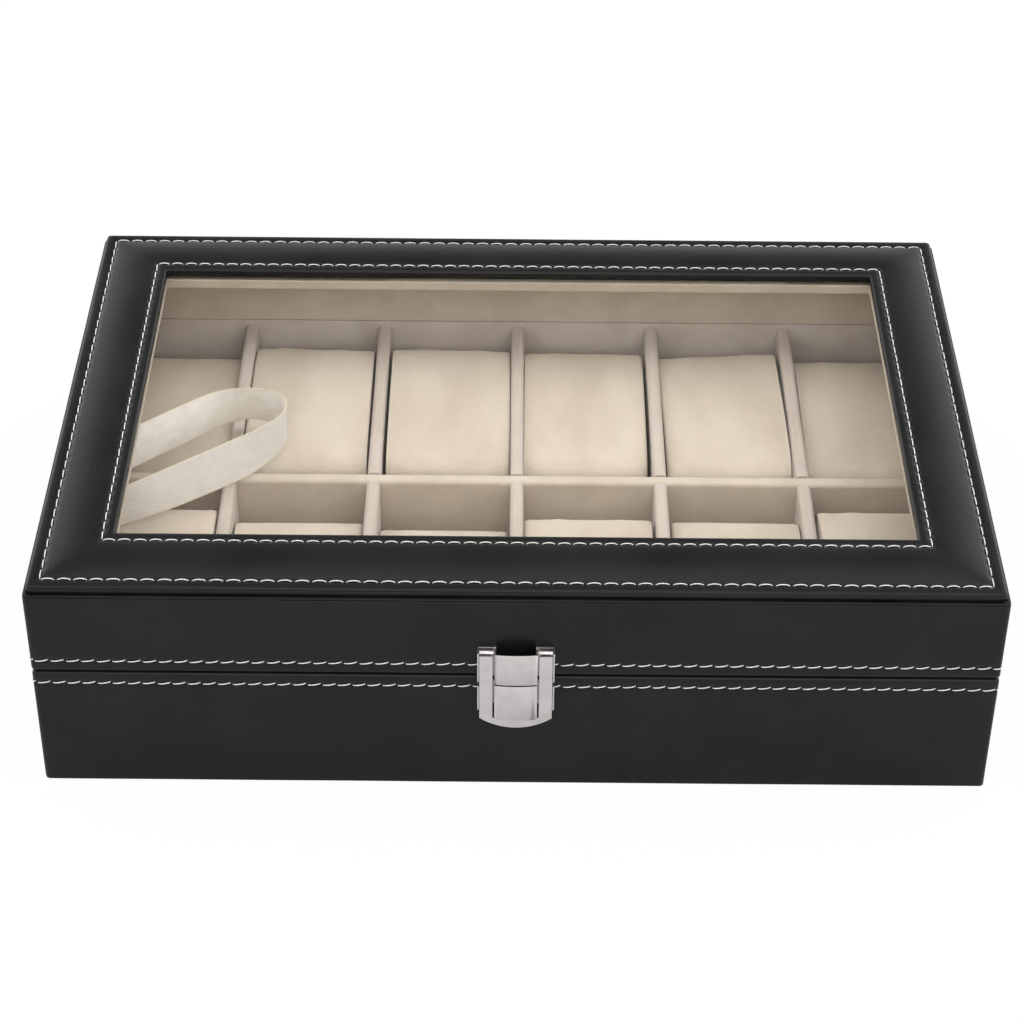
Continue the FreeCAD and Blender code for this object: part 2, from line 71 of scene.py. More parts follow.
class Wire:  # a shader socket; sums on it add Math nodes
    def __init__(self, tree, socket=None):
        self.tree = tree
        self.socket = socket

    def add(self, kind, settings, sockets, output=0):  # any other node
        node = self.tree.nodes.new("ShaderNode" + kind)
        for name, value in settings.items():
            setattr(node, name, value)
        for name, value in sockets.items():
            plug(self.tree, value, node.inputs[name])
        return Wire(self.tree, node.outputs[output])

    def maths(self, operation, first, second):
        return self.add("Math", {"operation": operation}, {0: first, 1: second})

    def __add__(self, other):
        return self.maths("ADD", self, other)

    def __sub__(self, other):
        return self.maths("SUBTRACT", self, other)

    def __rsub__(self, other):
        return self.maths("SUBTRACT", other, self)

    def __mul__(self, other):
        return self.maths("MULTIPLY", self, other)

    __radd__ = __add__
    __rmul__ = __mul__


wavePeriod = 0.314  # a wave texture of scale 1 repeats at this length


def objectPlace(wire, stretch=(1, 1, 1)):
    at = wire.add("TexCoord", {}, {}, "Object")
    return wire.add("Mapping", {}, {"Vector": at, "Scale": stretch})


def turned(wire, at, turn):
    return wire.add("Mapping", {}, {"Vector": at, "Rotation": turn})


def speckle(wire, at, size, detail=2.0):  # soft noise with spots of that size
    return wire.add("TexNoise", {}, {"Vector": at, "Scale": 1 / size, "Detail": detail}, "Fac")


def cells(wire, at, size):
    return wire.add("TexVoronoi", {"feature": "SMOOTH_F1"}, {"Vector": at, "Scale": 1 / size}, "Distance")


def stripes(wire, at, size, direction, waver, detail=2.0):
    return wire.add("TexWave", {"bands_direction": direction},
                    {"Vector": at, "Scale": wavePeriod / size, "Distortion": waver, "Detail": detail}, "Fac")


def mixColour(wire, share, first, second):
    return wire.add("Mix", {"data_type": "RGBA"}, {0: share, 6: first, 7: second}, 2)


def bump(wire, height, depth):
    return wire.add("Bump", {}, {"Strength": 1.0, "Distance": depth, "Height": height})


def contrast(wire, value, low, high):
    return wire.add("MapRange", {"interpolation_type": "SMOOTHSTEP"},
                    {"Value": value, "From Min": low, "From Max": high})


def axis(wire, vector, name):
    return wire.add("SeparateXYZ", {}, {"Vector": vector}, name)


def unsigned(wire, value):
    return wire.add("Math", {"operation": "ABSOLUTE"}, {0: value})


def material(name, paint, look):
    made = bpy.data.materials.new(name)
    made.use_nodes = True
    shader = made.node_tree.nodes["Principled BSDF"]
    for socket, value in paint(Wire(made.node_tree), look).items():
        plug(made.node_tree, value, shader.inputs[socket])
    return made


leatherLook = {"deep": (0.0031, 0.0029, 0.0027, 1), "worn": (0.0059, 0.0056, 0.0053, 1),
               "grain": 0.75 * mm, "pore": 0.28 * mm, "drift": 26 * mm, "relief": 0.035 * mm,
               "driftShare": 0.8, "grainShare": 0.3, "poreShare": 0.5, "range": (0.25, 0.8),
               "rough": 0.27, "spread": 0.14, "shine": 0.17, "tint": (0.95, 0.97, 1.0, 1)}


def leatherPaint(wire, look):
    at = objectPlace(wire)
    drift = speckle(wire, at, look["drift"], 3.0)
    grain = cells(wire, at, look["grain"])
    pores = speckle(wire, at, look["pore"])
    mottle = contrast(wire, drift * look["driftShare"] + grain * look["grainShare"], *look["range"])
    return {"Base Color": mixColour(wire, mottle, look["deep"], look["worn"]),
            "Roughness": look["rough"] + drift * look["spread"],
            "Specular IOR Level": look["shine"], "Specular Tint": look["tint"],
            "Normal": bump(wire, grain + pores * look["poreShare"], look["relief"])}


velvetLook = {"shade": (0.44, 0.368, 0.318, 1), "light": (0.525, 0.452, 0.40, 1),
              "sheen": (0.95, 0.87, 0.82, 1), "gloss": 0.25, "fluff": 0.45,
              "nap": 0.45 * mm, "drift": 13 * mm, "relief": 0.16 * mm,
              "stroke": (1, 0.35, 1), "strokeShare": 0.7, "napShare": 0.3, "range": (0.3, 0.7),
              "strokeRise": 0.6, "rough": 0.82, "spread": 0.15, "shine": 0.12}
# Darker, yellower copy of the lining velvet for the lid lining: painted shade inside the lid.
lidShadedVelvetLook = {**velvetLook, "shade": (0.43, 0.362, 0.286, 1), "light": (0.508, 0.434, 0.352, 1)}
# Darker copy of the lining velvet for the velvet frame under the glass: painted shade.
frameShadedVelvetLook = {**velvetLook, "shade": (0.37, 0.31, 0.24, 1), "light": (0.435, 0.365, 0.29, 1)}
# Lighter, yellower copy of the lining velvet for the long divider: painted warm light bounced from the
# cushions.
longBounceLitVelvetLook = {**velvetLook, "shade": (0.49, 0.413, 0.335, 1), "light": (0.575, 0.492, 0.41, 1)}
cushionLook = {**velvetLook, "shade": (0.48, 0.40, 0.324, 1), "light": (0.58, 0.497, 0.415, 1),
               "sheen": (1, 0.93, 0.85, 1), "nap": 0.5 * mm, "drift": 17 * mm, "gloss": 0.3}


def velvetPaint(wire, look):
    nap = speckle(wire, objectPlace(wire), look["nap"], 3.0)
    brushed = speckle(wire, objectPlace(wire, look["stroke"]), look["drift"], 4.0)
    pile = contrast(wire, brushed * look["strokeShare"] + nap * look["napShare"], *look["range"])
    return {"Base Color": mixColour(wire, pile, look["shade"], look["light"]),
            "Roughness": look["rough"] + nap * look["spread"], "Specular IOR Level": look["shine"],
            "Sheen Weight": look["gloss"], "Sheen Roughness": look["fluff"], "Sheen Tint": look["sheen"],
            "Normal": bump(wire, nap + brushed * look["strokeRise"], look["relief"])}


# Inner face of the ribbon: its shade and light colours sit above the outer face's as a painted sheen; its lower
# roughness is real.
satinPaintedSheenLook = {"shade": (0.82, 0.765, 0.70, 1), "light": (0.93, 0.89, 0.84, 1), "edge": (0.76, 0.67, 0.53, 1),
             "rib": 0.85 * mm, "ribTurn": (0, 0, 1.27), "waver": 0.4, "relief": 0.01 * mm, "ribShare": 0.1,
             "cloud": 4 * mm, "range": (0.2, 0.75), "selvedge": (8.1 * mm, 8.5 * mm), "selvedgeRise": 0.8,
             "rough": 0.26, "spread": 0.16, "sheen": 0.15, "shine": 0.45}
# The outer face keeps darker colours; the gap to the inner face's colours is the painted sheen.
twillLook = {**satinPaintedSheenLook, "shade": (0.675, 0.63, 0.582, 1), "light": (0.80, 0.762, 0.72, 1),
             "relief": 0.05 * mm, "ribShare": 0.4, "rough": 0.42}  # outer face of the ribbon


def satinPaint(wire, look):
    flat = wire.add("UVMap", {"uv_map": "flat"}, {}, "UV")
    rib = stripes(wire, turned(wire, flat, look["ribTurn"]), look["rib"], "Y", look["waver"], 1.0)
    cloud = speckle(wire, objectPlace(wire), look["cloud"], 3.0)
    selvedge = contrast(wire, unsigned(wire, axis(wire, flat, "X")), *look["selvedge"])
    woven = cloud * (1 - look["ribShare"]) + rib * look["ribShare"]
    body = mixColour(wire, contrast(wire, woven, *look["range"]), look["shade"], look["light"])
    return {"Base Color": mixColour(wire, selvedge, body, look["edge"]),
            "Roughness": look["rough"] + cloud * look["spread"],
            "Sheen Weight": look["sheen"], "Specular IOR Level": look["shine"],
            "Normal": bump(wire, rib + selvedge * look["selvedgeRise"], look["relief"])}


nickelLook = {"tone": (0.52, 0.49, 0.486, 1), "dull": (0.47, 0.443, 0.438, 1), "rough": 0.26,
              "relief": 0.004 * mm, "brush": (0.05, 1, 1), "line": 0.16 * mm, "lineShare": 0.06,
              "haze": 5 * mm, "hazeShare": 0.12, "range": (0.35, 0.7)}
steelLook = {**nickelLook, "tone": (0.62, 0.61, 0.60, 1), "dull": (0.45, 0.44, 0.43, 1), "rough": 0.30,
             "relief": 0.008 * mm}


def metalPaint(wire, look):
    lines = speckle(wire, objectPlace(wire, look["brush"]), look["line"], 2.0)
    haze = speckle(wire, objectPlace(wire), look["haze"], 4.0)
    return {"Base Color": mixColour(wire, contrast(wire, haze, *look["range"]), look["tone"], look["dull"]),
            "Metallic": 1.0,
            "Roughness": look["rough"] + haze * look["hazeShare"] + lines * look["lineShare"],
            "Normal": bump(wire, lines, look["relief"])}


boardLook = {"shade": (0.20, 0.15, 0.10, 1), "light": (0.36, 0.28, 0.20, 1), "fibre": 0.8 * mm,
             "relief": 0.1 * mm, "along": (0.2, 1, 1), "across": (1, 0.2, 1), "range": (0.35, 0.65),
             "rough": 0.85, "spread": 0.1, "shine": 0.15}
feltLook = {**boardLook, "shade": (0.018, 0.018, 0.02, 1), "light": (0.05, 0.05, 0.053, 1),
            "fibre": 0.5 * mm, "relief": 0.3 * mm}


def fibrePaint(wire, look):
    strands = speckle(wire, objectPlace(wire, look["along"]), look["fibre"], 4.0)
    crossing = speckle(wire, objectPlace(wire, look["across"]), look["fibre"], 4.0)
    matted = contrast(wire, strands * 0.5 + crossing * 0.5, *look["range"])  # half of each
    return {"Base Color": mixColour(wire, matted, look["shade"], look["light"]),
            "Roughness": look["rough"] + crossing * look["spread"], "Specular IOR Level": look["shine"],
            "Normal": bump(wire, strands + crossing, look["relief"])}


threadLook = {"shade": (0.36, 0.35, 0.33, 1), "light": (0.64, 0.625, 0.60, 1), "ply": 0.42 * mm,
              "plyTurn": (0.5, 0.4, 0.8), "waver": 0.6, "plyShare": 0.7, "fuzz": 0.2 * mm, "fuzzShare": 0.5,
              "fuzzRise": 0.4, "range": (0.1, 0.8), "relief": 0.12 * mm, "rough": 0.55, "spread": 0.2,
              "shine": 0.3}


def threadPaint(wire, look):
    ply = stripes(wire, turned(wire, objectPlace(wire), look["plyTurn"]), look["ply"], "X", look["waver"])
    fuzz = speckle(wire, objectPlace(wire), look["fuzz"], 3.0)
    spun = contrast(wire, ply * look["plyShare"] + fuzz * look["fuzzShare"], *look["range"])
    return {"Base Color": mixColour(wire, spun, look["shade"], look["light"]),
            "Roughness": look["rough"] + fuzz * look["spread"], "Specular IOR Level": look["shine"],
            "Normal": bump(wire, ply + fuzz * look["fuzzRise"], look["relief"])}


glassLook = {"tint": (0.975, 0.98, 0.975, 1), "index": 1.45, "smear": 45 * mm, "rough": 0.02, "spread": 0.03}


def glassMaterial(look):  # clear from both sides, with a reflection on the outer faces only
    made = bpy.data.materials.new("clearGlass")
    made.use_nodes = True
    tree = made.node_tree
    wire = Wire(tree)
    inside = wire.add("NewGeometry", {}, {}, "Backfacing")
    edge = wire.add("Fresnel", {}, {"IOR": look["index"]})
    clear = wire.add("BsdfTransparent", {}, {"Color": look["tint"]})
    smear = speckle(wire, objectPlace(wire), look["smear"], 2.0)
    shiny = wire.add("BsdfGlossy", {}, {"Roughness": look["rough"] + smear * look["spread"]})
    pane = wire.add("MixShader", {}, {0: edge * (1 - inside), 1: clear, 2: shiny})
    tree.links.new(pane.socket, tree.nodes["Material Output"].inputs["Surface"])
    return made


leather = material("blackLeather", leatherPaint, leatherLook)
thread = material("paleThread", threadPaint, threadLook)
liningVelvet = material("liningVelvet", velvetPaint, velvetLook)
lidShadedVelvet = material("lidShadedVelvet", velvetPaint, lidShadedVelvetLook)
frameShadedVelvet = material("frameShadedVelvet", velvetPaint, frameShadedVelvetLook)
longBounceLitVelvet = material("longBounceLitVelvet", velvetPaint, longBounceLitVelvetLook)
cushionVelvet = material("cushionVelvet", velvetPaint, cushionLook)
satin = material("creamSatin", satinPaint, satinPaintedSheenLook)
twill = material("creamTwill", satinPaint, twillLook)
nickel = material("satinNickel", metalPaint, nickelLook)
steel = material("hingeSteel", metalPaint, steelLook)
boardFibre = material("caseBoard", fibrePaint, boardLook)
felt = material("darkFelt", fibrePaint, feltLook)
glass = glassMaterial(glassLook)
print("materials made")


# Mesh helpers

def piece(name, points, faces, finish):  # points in millimetres
    mesh = bpy.data.meshes.new(name)
    mesh.from_pydata([Vector(point) * mm for point in points], [], faces)
    mesh.materials.append(finish)
    mesh.shade_smooth()
    made = bpy.data.objects.new(name, mesh)
    scene.collection.objects.link(made)
    return made


def easeEdges(made, width, steps):
    ease = made.modifiers.new("ease", "BEVEL")
    ease.width = width * mm
    ease.segments = steps
    ease.harden_normals = True
    return ease


def gridFaces(rows, columns, closeRows, closeColumns):
    faces = []
    for row in range(rows if closeRows else rows - 1):
        for column in range(columns if closeColumns else columns - 1):
            nextRow = (row + 1) % rows
            nextColumn = (column + 1) % columns
            faces.append((row * columns + column, nextRow * columns + column,
                          nextRow * columns + nextColumn, row * columns + nextColumn))
    return faces


def sideTurn(side):  # front, right, back and left sides of the box, in that order
    return Matrix.Rotation(side * math.pi / 2, 2)


def sideHalves(halfX, halfY, side):  # half length of a side, and how far it lies from the middle
    return (halfY, halfX) if side % 2 else (halfX, halfY)


def walk(halfX, halfY, radius, distance):  # point and outward direction on a rounded rectangle
    quarter = math.pi * radius / 2
    distance %= perimeter(halfX, halfY, radius)
    for side in range(4):
        halfAlong, away = sideHalves(halfX, halfY, side)
        run = 2 * (halfAlong - radius)
        turn = sideTurn(side)
        if distance < run:
            return turn @ Vector((distance - run / 2, -away)), turn @ Vector((0, -1))
        distance -= run
        if distance < quarter:
            angle = distance / radius - math.pi / 2
            out = Vector((math.cos(angle), math.sin(angle)))
            return turn @ (Vector((run / 2, radius - away)) + out * radius), turn @ out
        distance -= quarter
    return walk(halfX, halfY, radius, 0)


def perimeter(halfX, halfY, radius):
    return 4 * (halfX + halfY - 2 * radius) + 2 * math.pi * radius


def roundingPoints(centre, radius, start, end, steps):  # arc in a section, angles in degrees
    angles = [math.radians(start + (end - start) * step / steps) for step in range(steps + 1)]
    return [(centre[0] + radius * math.cos(angle), centre[1] + radius * math.sin(angle)) for angle in angles]


def stretch(low, high, step):  # evenly spaced values, about a step apart
    count = max(1, round((high - low) / step))
    return [low + (high - low) * index / count for index in range(count + 1)]


def dip(distance, width):  # bell curve that draws leather in at a seam
    return math.exp(-(distance / width) ** 2)


def curvePoint(before, start, end, after, share):  # smooth curve from start to end
    return 0.5 * (2 * start + (end - before) * share
                  + (2 * before - 5 * start + 4 * end - after) * share * share
                  + (3 * start - before - 3 * end + after) * share * share * share)


def tube(points, radii, sides=6):  # rings round a short line of points, closed at both ends
    rings = []
    for index, point in enumerate(points):
        ahead = points[min(index + 1, len(points) - 1)] - points[max(index - 1, 0)]
        first = ahead.cross(Vector((0.3, 0.5, 0.81))).normalized()
        second = ahead.cross(first).normalized()
        rings += [point + (first * math.cos(turn) + second * math.sin(turn)) * radii[index]
                  for turn in (2 * math.pi * side / sides for side in range(sides))]
    faces = gridFaces(len(points), sides, False, True)
    faces.append(tuple(range(sides)))
    faces.append(tuple(range(len(rings) - sides, len(rings)))[::-1])
    return rings, faces


# Leather round the walls, drawn in along each stitch row

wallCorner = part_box("base_leather_wrap")[1] / mm  # outer faces of the case

sideWall = {"halfX": wallCorner.x, "halfY": wallCorner.y, "radius": 1.3, "step": 0.98, "rim": 1.2,
            "roundSteps": 5, "skin": 0.82, "dent": 0.34, "dentWidth": 0.9, "leastPull": 0.62,
            "wave": 0.07, "waveSize": 38.0, "crack": 0.6, "crackWidth": 0.2, "coarse": 4.0,
            "rowZone": 2.4, "rowStep": 0.5, "seamZone": 0.6, "seamStep": 0.12,
            "outerFace": -0.5, "foldGap": 0.1}
baseWall = {"bottom": 0.3, "top": 45.75, "row": 41.7, "stitches": 216, "turnIn": 4.55, "heel": 0.9}
lidWall = {"bottom": 46.25, "top": 76.2, "row": 50.6, "stitches": 211, "turnIn": 4.55, "heel": 0.45,
           "seam": 75.6, "ledge": 1.9, "ledgeTop": 76.32}


def wallLength():
    return perimeter(sideWall["halfX"], sideWall["halfY"], sideWall["radius"])


def wallDent(distance, level, wall):  # how far the stitches and the fold draw the leather in
    pitch = wallLength() / wall["stitches"]
    least = sideWall["leastPull"]
    pull = least + (1 - least) * math.cos(2 * math.pi * distance / pitch)
    depth = sideWall["dent"] * pull * dip(level - wall["row"], sideWall["dentWidth"])
    if "seam" in wall:
        depth += sideWall["crack"] * dip(level - wall["seam"], sideWall["crackWidth"])
    return depth


def wallSection(wall, rimUp):  # (offset from the outer face, level), up the outside and down the inside
    bottom, top = wall["bottom"], wall["top"]
    rim, heel, skin, steps = sideWall["rim"], wall["heel"], sideWall["skin"], sideWall["roundSteps"]
    lowRound, highRound = (heel, rim) if rimUp else (rim, heel)
    levels = set(stretch(bottom + lowRound, top - highRound, sideWall["coarse"]))
    zones = [(wall["row"], sideWall["rowZone"], sideWall["rowStep"])]
    if "seam" in wall:
        zones.append((wall["seam"], sideWall["seamZone"], sideWall["seamStep"]))
    for middle, reach, step in zones:
        levels |= set(stretch(middle - reach, middle + reach, step))
    section = roundingPoints((-lowRound, bottom + lowRound), lowRound, -90, 0, steps)[:-1]
    section += [(0.0, level) for level in sorted(levels) if bottom + lowRound <= level <= top - highRound]
    section += roundingPoints((-highRound, top - highRound), highRound, 0, 90, steps)[1:]
    fold, inner = -wall["turnIn"], -skin - sideWall["foldGap"]
    if rimUp:
        return section + [(fold, top), (fold, top - skin), (-skin, top - skin), (inner, bottom)]
    ledge, ledgeTop = -wall["ledge"], wall["ledgeTop"]
    section += [(ledge / 2, ledgeTop), (ledge, ledgeTop), (ledge, top), (inner, top - sideWall["foldGap"])]
    return section + [(-skin, bottom + skin), (fold, bottom + skin), (fold, bottom)]


def wallWrap(name, wall, rimUp, body, node):
    section = wallSection(wall, rimUp)
    distances = stretch(0, wallLength(), sideWall["step"])[:-1]
    points = []
    for distance in distances:
        spot, out = walk(sideWall["halfX"], sideWall["halfY"], sideWall["radius"], distance)
        for offset, level in section:
            if offset > sideWall["outerFace"]:
                at = Vector((spot.x, spot.y, level)) / sideWall["waveSize"]
                offset -= wallDent(distance, level, wall)
                offset += sideWall["wave"] * (noise.noise(at) - 0.5)
            points.append((spot.x + out.x * offset, spot.y + out.y * offset, level))
    wrap = piece(name, points, gridFaces(len(distances), len(section), True, True), leather)
    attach(wrap, body)
    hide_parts(node)


wallWrap("baseLeather", baseWall, True, "base", "base_leather_wrap")
wallWrap("lidLeather", lidWall, False, "lid", "lid_leather_wrap")
print("wall leather made")


# Padded top border

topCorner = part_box("lid_top_leather")[1] / mm  # outer edge of the top panel

border = {"halfX": topCorner.x, "halfY": topCorner.y, "width": 25.6, "narrow": 0.957,
          "corner": 1.6, "mitre": 1.1, "flat": 79.1, "lip": 80.65, "puff": 1.0, "floor": 77.75,
          "wave": 0.10, "waveSize": 30.0,
          "outerRow": 4.1, "innerRow": 21.7, "outerCount": (56, 38), "innerCount": (53, 33),
          "dent": 0.5, "dentWidth": 0.85, "leastPull": 0.30, "pullPower": 1.5, "rowPast": 0.6,
          "along": 1.0, "coarse": 0.95, "plain": 1.3, "rowZone": 1.6, "rowStep": 0.4,
          "edge": ((0.9, 76.55), (0.45, 76.42), (0.15, 76.55), (0.03, 76.9), (0.0, 77.4), (0.0, 77.9),
                   (0.08, 78.1), (0.45, 78.22), (0.5, 78.3), (0.1, 78.42),
                   (0.12, 78.6), (0.3, 78.82), (0.6, 78.98), (0.95, 79.05)),  # inset and level, with a crease
          "lipFall": ((0.85, 0.07), (0.45, 0.22), (0.15, 0.5), (0.0, 0.9)), "lipUndercut": 0.05}


def rowHalf(inset):
    return border["halfX"] - inset, border["halfY"] - inset


def rowPull(x, y, inset, counts):  # dent of one stitch row at a point of the top
    halfX, halfY = rowHalf(inset)
    overX, overY = abs(x) - halfX, abs(y) - halfY
    least = border["leastPull"]
    pull = 0.0
    for off, along, half, count in ((overY, x, halfX, counts[0]), (overX, y, halfY, counts[1])):
        if abs(along) < half + border["rowPast"]:
            hole = 0.5 + 0.5 * math.cos(2 * math.pi * (along + half) * count / (2 * half))
            depth = (least + (1 - least) * hole ** border["pullPower"]) * dip(off, border["dentWidth"])
            pull = max(pull, depth)
    return border["dent"] * pull


def topLevel(x, y):
    toEdgeX, toEdgeY = border["halfX"] - abs(x), border["halfY"] - abs(y)
    mitre = border["mitre"]
    fromEdge = -mitre * math.log(math.exp(-toEdgeX / mitre) + math.exp(-toEdgeY / mitre))
    halfX, halfY = rowHalf(border["innerRow"])
    overX, overY = abs(x) - halfX, abs(y) - halfY
    fromWindow = math.hypot(overX, overY) if min(overX, overY) > 0 else max(overX, overY)
    outside, inside = max(fromEdge - border["outerRow"], 0), max(fromWindow, 0)
    share = outside / max(outside + inside, 0.01)  # nought at the outer row, one at the inner row
    at = Vector((x, y, 0)) / border["waveSize"]
    level = border["flat"] + (border["lip"] - border["flat"]) * share + border["wave"] * noise.noise(at)
    level += 4 * border["puff"] * share * (1 - share)
    level -= rowPull(x, y, border["outerRow"], border["outerCount"])
    return level - rowPull(x, y, border["innerRow"], border["innerCount"])


def borderSection():  # (inset from the outer edge, level or None on the padded top)
    width, top, floor = border["width"], border["lip"], border["floor"]
    insets = set(stretch(border["plain"], width - border["plain"], border["coarse"]))
    for row in (border["outerRow"], border["innerRow"]):
        insets |= set(stretch(row - border["rowZone"], row + border["rowZone"], border["rowStep"]))
    section = [(border["edge"][0][0], floor), *border["edge"]]
    section += [(inset, None) for inset in sorted(insets)]
    section += [(width - inset, top - fall) for inset, fall in border["lipFall"]]
    return section + [(width, (top + floor) / 2), (width - border["lipUndercut"], floor)]


def roundCorner(x, y):  # pulls the square corner of the panel to its rounding
    centreX, centreY = rowHalf(border["corner"])
    overX, overY = abs(x) - centreX, abs(y) - centreY
    if min(overX, overY) <= 0:
        return x, y
    shrink = max(overX, overY) / math.hypot(overX, overY)
    return math.copysign(centreX + overX * shrink, x), math.copysign(centreY + overY * shrink, y)


def widen(x):  # the left and right borders are narrower than the front and back ones
    toEdge = border["halfX"] - abs(x)
    if toEdge > border["width"]:
        return x * rowHalf(border["width"] * border["narrow"])[0] / rowHalf(border["width"])[0]
    return math.copysign(border["halfX"] - toEdge * border["narrow"], x)


def topBorder():
    section = borderSection()
    rows = []
    for side in range(4):
        halfAlong, halfAway = sideHalves(border["halfX"], border["halfY"], side)
        shares = stretch(-1, 1, border["along"] / halfAlong)[:-1]
        rows += [(share, halfAlong, halfAway, sideTurn(side)) for share in shares]
    points = []
    for share, halfAlong, halfAway, turn in rows:
        for inset, level in section:
            spot = turn @ Vector((share * (halfAlong - inset), inset - halfAway))
            if level is None:
                level = topLevel(spot.x, spot.y)
            x, y = roundCorner(spot.x, spot.y)
            points.append((widen(x), y, level))
    cover = piece("lidTopCover", points, gridFaces(len(rows), len(section), True, True), leather)
    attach(cover, "lid")
    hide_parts("lid_top_leather", "lid_top_pad")


topBorder()
print("padded border made")


# Stitches: one bowed length of thread each

stitch = {"radius": 0.2, "share": 0.84, "steps": 8, "jitter": 0.05, "drift": 0.015, "arch": 0.5, "taper": 0.2,
          "settle": 0.3}
wallStitch = {"sink": 0.28, "rise": 0.16, "slant": 0.32}
topStitch = {"sink": 0.42, "rise": 0.30, "slant": 0.06}
upward = Vector((0, 0, 1))


def stitchRow(name, lines, style, body):  # a line gives place, outward and sideways at a share of its stitch
    dice = random.Random(name)
    points, faces = [], []
    for line in lines:
        lean = dice.uniform(-1, 1) * stitch["jitter"]
        margin = (1 - stitch["share"]) / 2 + dice.uniform(-1, 1) * stitch["drift"]
        path, radii = [], []
        for step in range(stitch["steps"] + 1):
            share = step / stitch["steps"]
            bow = math.sin(math.pi * share) ** stitch["arch"]
            spot, out, aside = line(margin + share * stitch["share"])
            lift = bow * (style["sink"] + style["rise"]) - style["sink"]
            path.append(spot + out * lift + aside * (style["slant"] * (share - 0.5) * 2 + lean))
            radii.append(stitch["radius"] * (1 - stitch["taper"] + stitch["taper"] * bow))
        ring, ringFaces = tube(path, radii)
        faces += [tuple(index + len(points) for index in face) for face in ringFaces]
        points += ring
    row = piece(name, points, faces, thread)
    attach(row, body)


def wallStitches(name, wall, body):
    pitch = wallLength() / wall["stitches"]
    sunk = stitch["settle"] * sideWall["dent"]

    def makeLine(number):
        def line(share):
            distance = (number + share) * pitch
            spot, out = walk(sideWall["halfX"], sideWall["halfY"], sideWall["radius"], distance)
            place = Vector((spot.x - out.x * sunk, spot.y - out.y * sunk, wall["row"]))
            return place, Vector((out.x, out.y, 0)), upward
        return line

    stitchRow(name, [makeLine(number) for number in range(wall["stitches"])], wallStitch, body)


def topStitches(name, inset, counts, top):
    level = top - stitch["settle"] * border["dent"]

    def makeLine(side, number):
        halfAlong, halfAway = sideHalves(*rowHalf(inset), side)
        turn = sideTurn(side)
        aside = (turn @ Vector((0, 1))).to_3d()

        def line(share):
            along = 2 * halfAlong * (number + share) / counts[side % 2] - halfAlong
            spot = turn @ Vector((along, -halfAway))
            return Vector((widen(spot.x), spot.y, level)), upward, aside
        return line

    lines = [makeLine(side, number) for side in range(4) for number in range(counts[side % 2])]
    stitchRow(name, lines, topStitch, "lid")


wallStitches("baseStitching", baseWall, "base")
wallStitches("lidStitching", lidWall, "lid")
topStitches("topOuterStitching", border["outerRow"], border["outerCount"], border["flat"])
topStitches("topInnerStitching", border["innerRow"], border["innerCount"], border["lip"])
print("stitching made")


# Cushions

cushion = {"halfWidth": 21.5, "middle": (0.0, 22.6), "stations": 23, "rings": 5, "perPoint": 4, "draw": 0.02,
           "drawPower": 8, "ripple": 0.08, "rippleSize": 14, "shuffle": 9, "bottom": 6.1, "shoulder": 31.3,
           "crease": 0.9, "trials": 4,
           "section": ((0, 40.7), (14, 40.5), (25, 40.0), (32, 39.1), (36, 37.2), (38.6, 33.8), (40.8, 27.5),
                       (42, 18), (41, 11.5), (37.5, 7.5), (32, 6.2), (16, 6.1), (0, 6.1))}  # rear half
filling = {"scale": 12.0, "frames": 14, "slack": -0.03, "pressure": 1.0, "limit": 0.25,
           "quality": 5, "mass": 0.25}
cushionRest = {"back": ((0.1, 0.2, -2.6, 0.0), (-0.2, 0.1, 1.9, -0.3), (0.5, 0.1, 2.0, -0.3),
                        (-0.5, -0.2, 1.0, 0.0), (-0.3, 1.1, 0.4, 1.1), (0.2, -0.2, -1.9, 0.0)),
               "front": ((0.1, 0.3, 3.4, 0.0), (0.2, 0.2, -1.9, 0.0), (-0.2, -0.3, -4.7, 0.0),
                         (-0.4, 0.2, 0.6, 0.0), (0.1, -0.3, -0.3, 0.0),
                         (0.2, 0.2, 4.4, 0.0))}  # slide, turn in degrees, stand, tip


def smoothLoop(points, per):  # closed curve through points
    loop = []
    count = len(points)
    for index in range(count):
        corners = [Vector(points[(index + shift) % count]) for shift in (-1, 0, 1, 2)]
        loop += [curvePoint(*corners, step / per) for step in range(per)]
    return loop


def cushionPoints(dice):
    half = cushion["section"]
    outline = [Vector(point) for point in half] + [Vector((-y, z)) for y, z in half[-2:0:-1]]
    loop = smoothLoop(outline, cushion["perPoint"])
    middle = Vector(cushion["middle"])
    points = []
    reach = cushion["shuffle"]
    shift = Vector((dice.uniform(-reach, reach), dice.uniform(-reach, reach), dice.uniform(-reach, reach)))
    for station in range(cushion["stations"]):
        x = (2 * station / (cushion["stations"] - 1) - 1) * cushion["halfWidth"]
        drawn = 1 - cushion["draw"] * abs(x / cushion["halfWidth"]) ** cushion["drawPower"]
        for spot in loop:
            at = middle + (spot - middle) * drawn
            ripple = cushion["ripple"] * noise.noise(Vector((x, at.x, at.y)) / cushion["rippleSize"] + shift)
            at += (at - middle).normalized() * ripple
            points.append((x, at.x, at.y))
    faces = gridFaces(cushion["stations"], len(loop), False, True)
    seam = list(range(len(loop))) + list(range(len(points) - len(loop), len(points)))
    for station, x in ((0, -cushion["halfWidth"]), (cushion["stations"] - 1, cushion["halfWidth"])):
        outer = [station * len(loop) + index for index in range(len(loop))]
        ring = outer
        for step in range(1, cushion["rings"]):
            inner = []
            for index in outer:
                edge = Vector(points[index][1:])
                at = middle + (edge - middle) * (1 - step / cushion["rings"])
                inner.append(len(points))
                points.append((x, at.x, at.y))
            faces += [(ring[i], ring[(i + 1) % len(loop)], inner[(i + 1) % len(loop)], inner[i])
                      for i in range(len(loop))]
            ring = inner
            seam += inner
        faces.append(tuple(ring))
    return points, faces, seam


